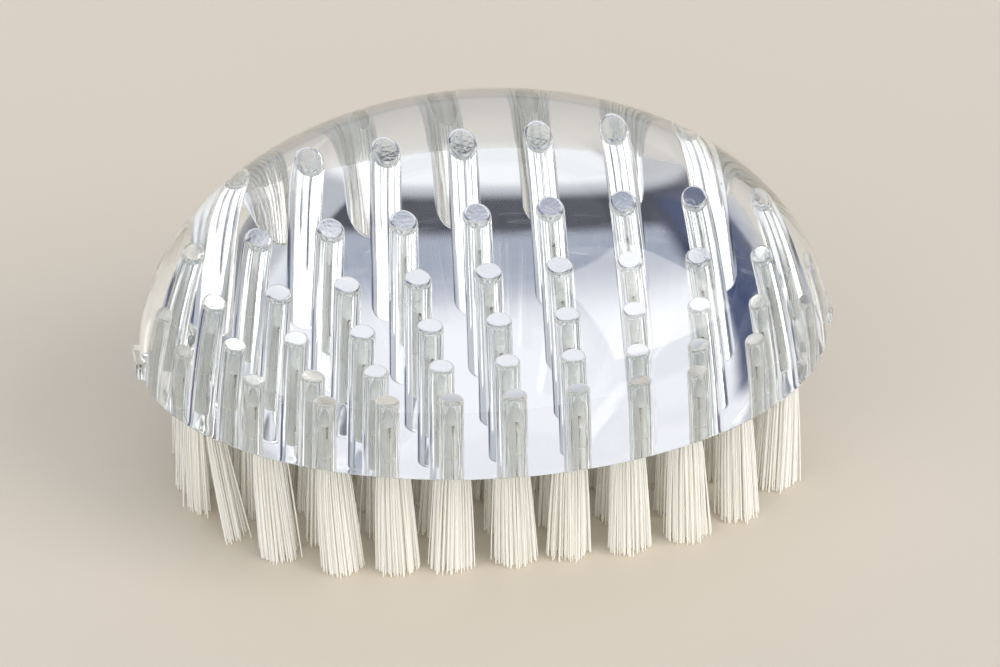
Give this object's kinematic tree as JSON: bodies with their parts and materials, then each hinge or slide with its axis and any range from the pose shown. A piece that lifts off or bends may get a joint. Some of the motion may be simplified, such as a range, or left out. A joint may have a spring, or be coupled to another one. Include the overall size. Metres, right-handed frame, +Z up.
{
  "type": "nail brush",
  "caption": "Nail brush with a clear, solid domed handle held in the palm and rows of short nylon tufts set in blind holes in its flat underside.",
  "frame": {"origin": "bottom centre: the middle of the plane of the trimmed tips on which the brush stands, under the middle of the handle", "axes": "+X along the handle's long axis, +Y across it, away from the front row of tufts, +Z up through the dome"},
  "size_m": [0.0922, 0.0668, 0.0521],
  "materials": {
    "handle_plastic": "clear, polished",
    "tuft_nylon": "ivory, slightly translucent",
    "anchor_metal": "dull, cut from strip"
  },
  "bodies": {
    "root": {"handle": "handle_plastic", "tuft_row_1": "tuft_nylon", "tuft_row_2": "tuft_nylon", "tuft_row_3": "tuft_nylon", "tuft_row_4": "tuft_nylon", "tuft_row_5": "tuft_nylon", "tuft_row_6": "tuft_nylon", "tuft_row_7": "tuft_nylon", "anchor_row_1": "anchor_metal", "anchor_row_2": "anchor_metal", "anchor_row_3": "anchor_metal", "anchor_row_4": "anchor_metal", "anchor_row_5": "anchor_metal", "anchor_row_6": "anchor_metal", "anchor_row_7": "anchor_metal"}
  },
  "joints": []
}
